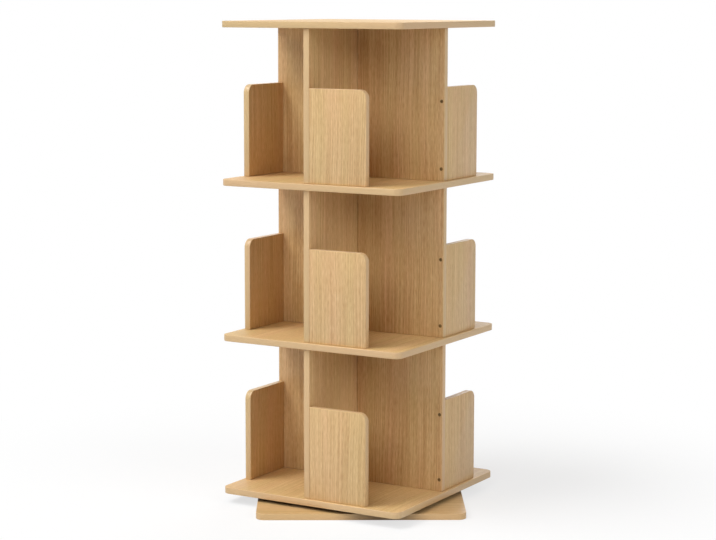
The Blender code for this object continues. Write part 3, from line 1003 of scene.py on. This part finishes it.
def screw_rings(head, shank, length, neck, tip):
    """The screw's outline, from the rim of the head to the tip: a height and the radii round it."""
    rim = head / 2
    thick = shank / 2
    cone = rim - thick + RIM_LAND
    plain = [(0.0, rim - RIM_LAND), (-RIM_LAND, rim), (-cone, thick), (-neck, thick)]
    rings = [(z, [radius] * SCREW_STEPS) for z, radius in plain]
    count = int((length - neck) / THREAD_PITCH * RINGS_PER_PITCH)
    for i in range(1, count):
        z = -neck - i * THREAD_PITCH / RINGS_PER_PITCH
        taper = min(1.0, (length + z) / tip)
        radii = []
        for j in range(SCREW_STEPS):
            climb = (i / RINGS_PER_PITCH + j / SCREW_STEPS) % 1.0
            ridge = max(0.0, 1.0 - RIDGE_STEEPNESS * abs(climb - 0.5))
            radii.append(taper * thick * (THREAD_CORE + (1.0 - THREAD_CORE) * ridge))
        rings.append((z, radii))
    return rings


# %% Body of a screw
def screw_body(head, shank, length, neck, tip):
    """The screw without its recess, the top of its head at the origin and its tip below."""
    edit = bmesh.new()
    hoops = []
    for z, radii in screw_rings(head, shank, length, neck, tip):
        hoop = []
        for j, radius in enumerate(radii):
            angle = 2 * math.pi * j / SCREW_STEPS
            hoop.append(edit.verts.new((radius * math.cos(angle), radius * math.sin(angle), z)))
        hoops.append(hoop)
    edit.faces.new(hoops[0])
    point = edit.verts.new((0.0, 0.0, -length))
    for j in range(SCREW_STEPS):
        after = (j + 1) % SCREW_STEPS
        for above, below in zip(hoops, hoops[1:]):
            edit.faces.new((above[j], below[j], below[after], above[after]))
        edit.faces.new((hoops[-1][j], point, hoops[-1][after]))
    bmesh.ops.recalc_face_normals(edit, faces=edit.faces)
    return mesh_from(edit, "screw")


# %% Cross recess
RECESS_RISE = 0.0003
RECESS_DEPTH = 0.26
RECESS_MOUTH = (0.30, 0.060)
RECESS_FOOT = (0.13, 0.035)


def recess_wedge(head, turn):
    """One wing of the cross recess, from above the head down to a narrower foot.

    Its depth, and the half length and half width of mouth and foot, are shares of the head.
    """
    edit = bmesh.new()
    loops = []
    for z, (long_share, wide_share) in ((RECESS_RISE, RECESS_MOUTH), (-RECESS_DEPTH * head, RECESS_FOOT)):
        loops.append([edit.verts.new((x * long_share * head, y * wide_share * head, z)) for x, y in CORNERS])
    mouth, foot = loops
    edit.faces.new(mouth)
    edit.faces.new(foot)
    for j in range(len(CORNERS)):
        after = (j + 1) % len(CORNERS)
        edit.faces.new((mouth[j], mouth[after], foot[after], foot[j]))
    bmesh.ops.recalc_face_normals(edit, faces=edit.faces)
    mesh = mesh_from(edit, "wedge")
    mesh.transform(Matrix.Rotation(turn, 4, "Z"))
    return mesh


# %% Finished screw
STOP_SCREW_TIP = 0.004


def wood_screw(head, shank, length, neck, tip):
    """A finished screw with its recess, and the map that its tool marks follow."""
    body = holder_for(screw_body(head, shank, length, neck, tip))
    wedges = [holder_for(recess_wedge(head, turn)) for turn in (0.0, math.pi / 2)]
    for wedge in wedges:
        cut = body.modifiers.new("recess", "BOOLEAN")
        cut.object = wedge
        cut.solver = "EXACT"
    mesh = evaluated_mesh(body)
    for wedge in wedges:
        bpy.data.objects.remove(wedge)
    layer = mesh.uv_layers.new(name=TURNING_MAP)
    for loop in mesh.loops:
        x, y, z = mesh.vertices[loop.vertex_index].co
        layer.uv[loop.index].vector = (math.hypot(x, y), z)
    return mesh


screw_low, screw_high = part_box("bottom_front_stop_screw_lower")
screw_length = screw_high.x - screw_low.x
stop_screw = wood_screw(SCREW_HEAD, SCREW_SHANK, screw_length, upright_thickness, STOP_SCREW_TIP)
print("stop screw:", len(stop_screw.polygons), "faces,", round(1000 * screw_length, 1), "mm long")

# %% [markdown]
# ## All the stop screws
# The screws could be copied into place one by one. But they repeat by a rule: two to a stop, four quarters
# round the axis, three tiers. So a Geometry Nodes tree works the place of each from its number, and gives
# each its own turn, because no two cross recesses on a real piece line up.

# %% Last steps of a tree that repeats a piece
def spun_and_finished(tree, given, instances):
    """Turn every instance about its own axis, make all of it real and give it its finish.

    A Random Value node takes the limits of a number at inputs 2 and 3 and gives it at output 1.
    """
    spin = put(tree, "FunctionNodeRandomValue", {
        2: 0.0, 3: 2 * math.pi, "Seed": given.outputs["Seed"],
    }, data_type="FLOAT")
    about = put(tree, "ShaderNodeCombineXYZ", {2: spin.outputs[1]})
    spun = put(tree, "GeometryNodeRotateInstances", {
        "Instances": instances, "Rotation": about.outputs[0], "Local Space": True,
    })
    real = put(tree, "GeometryNodeRealizeInstances", {"Geometry": spun.outputs[0]})
    done = put(tree, "GeometryNodeSetMaterial", {
        "Geometry": real.outputs[0], "Material": given.outputs["Finish"],
    })
    put(tree, "NodeGroupOutput", {0: done.outputs[0]})


# %% Stop screw tree
PER_STOP = float(len(ENDS))
PER_ROUND = float(len(SIDES))
PER_TIER = PER_STOP * PER_ROUND

stop_screw_rule = bpy.data.node_groups.new("stop_screw_rule", "GeometryNodeTree")
add_sockets(stop_screw_rule, "INPUT", [
    ("Screw", "Geometry"),
    ("Face", "Float", -0.015),
    ("Row", "Float", -0.2245),
    ("First Height", "Float", 0.07),
    ("Pair Spacing", "Float", 0.156),
    ("Tier Pitch", "Float", 0.367),
    ("Tiers", "Int", 3),
    ("Seed", "Int", 5),
    ("Finish", "Material"),
])
add_sockets(stop_screw_rule, "OUTPUT", [("Screws", "Geometry")])


def build_stop_screw_rule(tree):
    """Numbered points for all the screws, and a screw on each."""
    given = put(tree, "NodeGroupInput")
    number = put(tree, "GeometryNodeInputIndex").outputs[0]
    end = math_node(tree, "MODULO", number, PER_STOP)
    pair = math_node(tree, "FLOOR", math_node(tree, "DIVIDE", number, PER_STOP))
    turn = math_node(tree, "MULTIPLY", math_node(tree, "MODULO", pair, PER_ROUND), math.pi / 2)
    tier = math_node(tree, "FLOOR", math_node(tree, "DIVIDE", number, PER_TIER))
    spacing, first = given.outputs["Pair Spacing"], given.outputs["First Height"]
    height = math_node(tree, "MULTIPLY_ADD", end, spacing, first)
    height = math_node(tree, "MULTIPLY_ADD", tier, given.outputs["Tier Pitch"], height)
    in_front = put(tree, "ShaderNodeCombineXYZ", {
        0: given.outputs["Face"], 1: given.outputs["Row"], 2: height,
    })
    place = put(tree, "ShaderNodeVectorRotate", {
        "Vector": in_front.outputs[0], "Angle": turn,
    }, rotation_type="Z_AXIS")
    count = math_node(tree, "MULTIPLY", given.outputs["Tiers"], PER_TIER)
    points = put(tree, "GeometryNodePoints", {"Count": count, "Position": place.outputs[0]})
    facing = put(tree, "ShaderNodeCombineXYZ", {1: -math.pi / 2, 2: turn})
    screws = put(tree, "GeometryNodeInstanceOnPoints", {
        "Points": points.outputs[0], "Instance": given.outputs["Screw"], "Rotation": facing.outputs[0],
    })
    spun_and_finished(tree, given, screws.outputs[0])


build_stop_screw_rule(stop_screw_rule)
print("stop_screw_rule:", len(stop_screw_rule.nodes), "nodes")

# %% Stop screws
STOP_SCREW_SEED = 5

mesh = evaluated_mesh(follow_rule(stop_screw_rule, {
    "Face": screw_low.x,
    "Row": screw_y,
    "First Height": FLOORS[0] + screw_heights[0],
    "Pair Spacing": screw_heights[1] - screw_heights[0],
    "Tier Pitch": FLOORS[1] - FLOORS[0],
    "Tiers": len(TIERS),
    "Seed": STOP_SCREW_SEED,
    "Finish": bronzed_steel,
}, stop_screw))
screw_nodes = [f"{tier}_{side}_stop_screw_{end}" for tier in TIERS for side in SIDES for end in ENDS]
show("stop_screws", mesh, "carousel", "screw_steel", *screw_nodes)
print("stop screws:", len(screw_nodes), "in", len(mesh.polygons), "faces")

# %% [markdown]
# ## The swivel
# The swivel hides in the gap over the base: an aluminium ring on the base, another under the bottom shelf,
# and a cage of steel balls between them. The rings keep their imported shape. Their screws and the balls could
# be set one by one, but all stand evenly on circles about the axis, so one tree with a count, a radius and a
# height makes each set.

# %% Tree for pieces on a circle
circle_rule = bpy.data.node_groups.new("circle_rule", "GeometryNodeTree")
add_sockets(circle_rule, "INPUT", [
    ("Piece", "Geometry"),
    ("Count", "Int", 4),
    ("Circle Radius", "Float", 0.05),
    ("First Angle", "Float", 0.0),
    ("Height", "Float", 0.02),
    ("Tip Over", "Float", 0.0),
    ("Seed", "Int", 3),
    ("Finish", "Material"),
])
add_sockets(circle_rule, "OUTPUT", [("Pieces", "Geometry")])


def build_circle_rule(tree):
    """Numbered points on a circle, and a piece on each."""
    given = put(tree, "NodeGroupInput")
    number = put(tree, "GeometryNodeInputIndex").outputs[0]
    step = math_node(tree, "DIVIDE", 2 * math.pi, given.outputs["Count"])
    angle = math_node(tree, "MULTIPLY_ADD", number, step, given.outputs["First Angle"])
    x = math_node(tree, "MULTIPLY", math_node(tree, "COSINE", angle), given.outputs["Circle Radius"])
    y = math_node(tree, "MULTIPLY", math_node(tree, "SINE", angle), given.outputs["Circle Radius"])
    place = put(tree, "ShaderNodeCombineXYZ", {0: x, 1: y, 2: given.outputs["Height"]})
    points = put(tree, "GeometryNodePoints", {"Count": given.outputs["Count"], "Position": place.outputs[0]})
    facing = put(tree, "ShaderNodeCombineXYZ", {0: given.outputs["Tip Over"], 2: angle})
    pieces = put(tree, "GeometryNodeInstanceOnPoints", {
        "Points": points.outputs[0], "Instance": given.outputs["Piece"], "Rotation": facing.outputs[0],
    })
    spun_and_finished(tree, given, pieces.outputs[0])


build_circle_rule(circle_rule)
print("circle_rule:", len(circle_rule.nodes), "nodes")

# %% [markdown]
# ## Swivel screws
# Four small zinc plated screws hold each ring. Those of the outer ring go down into the base, and those of
# the inner ring go up into the bottom shelf. A stop screw could be scaled down, but its thread would shrink
# with it. So the same function makes a smaller screw. Its head is sunk just below the face of the ring.

# %% Swivel screws
SWIVEL_SCREW_HEAD = 0.007
SWIVEL_SCREW_SHANK = 0.0035
SWIVEL_SCREW_BITE = 0.010
SWIVEL_SCREW_TIP = 0.003
SWIVEL_SCREWS = 4
SCREW_SUNK = 0.0002
CIRCLE_SEED = 3


def ring_middle(node):
    """Radius of the middle of a ring about the axis, and its lowest and highest point."""
    radii = [math.hypot(v.co.x, v.co.y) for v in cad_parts[node].data.vertices]
    low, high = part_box(node)
    return (min(radii) + max(radii)) / 2, low.z, high.z


def swivel_screws(name, node, body, first_angle, faces_up):
    """The screws of one swivel ring, their heads on its open side."""
    radius, low_z, high_z = ring_middle(node)
    thickness = high_z - low_z
    length = thickness + SWIVEL_SCREW_BITE
    screw = wood_screw(SWIVEL_SCREW_HEAD, SWIVEL_SCREW_SHANK, length, thickness, SWIVEL_SCREW_TIP)
    mesh = evaluated_mesh(follow_rule(circle_rule, {
        "Count": SWIVEL_SCREWS,
        "Circle Radius": radius,
        "First Angle": first_angle,
        "Height": high_z - SCREW_SUNK if faces_up else low_z + SCREW_SUNK,
        "Tip Over": 0.0 if faces_up else math.pi,
        "Seed": CIRCLE_SEED,
        "Finish": zinc_screw,
    }, screw))
    show(name, mesh, body, "ring_metal")
    print(name, "on a circle of", round(1000 * radius, 1), "mm radius,", len(mesh.polygons), "faces")


swivel_screws("base_ring_screws", "swivel_outer_ring", "base", BASE_TURN, True)
swivel_screws("shelf_ring_screws", "swivel_inner_ring", "carousel", 0.0, False)

# %% [markdown]
# ## Balls and cage
# Fourteen steel balls roll between the rings, and a thin hoop of steel keeps them apart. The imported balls
# have few faces, so finer ones take their place, set out by the same circle tree. The hoop is a small
# rectangle, turned about the axis.

# %% Balls
BALL_COUNT = 14
BALL_CIRCLE_RADIUS = 0.053
BALL_RADIUS = 0.002
BALL_SUBDIVISIONS = 3

cage_low, cage_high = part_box("swivel_ball_cage")
ball_z = (cage_low.z + cage_high.z) / 2
edit = bmesh.new()
bmesh.ops.create_icosphere(edit, subdivisions=BALL_SUBDIVISIONS, radius=BALL_RADIUS)
mesh = evaluated_mesh(follow_rule(circle_rule, {
    "Count": BALL_COUNT,
    "Circle Radius": BALL_CIRCLE_RADIUS,
    "Height": ball_z,
    "Seed": CIRCLE_SEED,
    "Finish": ball_steel,
}, mesh_from(edit, "ball")))
show("swivel_balls", mesh, "ball_cage", "ball_steel", "swivel_ball_cage")
print("balls:", BALL_COUNT, "at height", round(1000 * ball_z, 2), "mm")

# %% Cage
CAGE_HALF_THICKNESS = 0.0004
CAGE_HALF_HEIGHT = 0.0013
CAGE_STEPS = 168

inside = BALL_CIRCLE_RADIUS - CAGE_HALF_THICKNESS
outside = BALL_CIRCLE_RADIUS + CAGE_HALF_THICKNESS
profile = [
    (outside, CAGE_HALF_HEIGHT),
    (outside, -CAGE_HALF_HEIGHT),
    (inside, -CAGE_HALF_HEIGHT),
    (inside, CAGE_HALF_HEIGHT),
]
mesh = turned_mesh("cage", profile, CAGE_STEPS, closed=True)
mesh.materials.append(cage_steel)
mesh.transform(Matrix.Translation((0.0, 0.0, ball_z)))
smooth_with_creases(mesh)
show("swivel_cage_ring", mesh, "ball_cage", "ball_steel")
print("cage ring:", len(mesh.polygons), "faces")
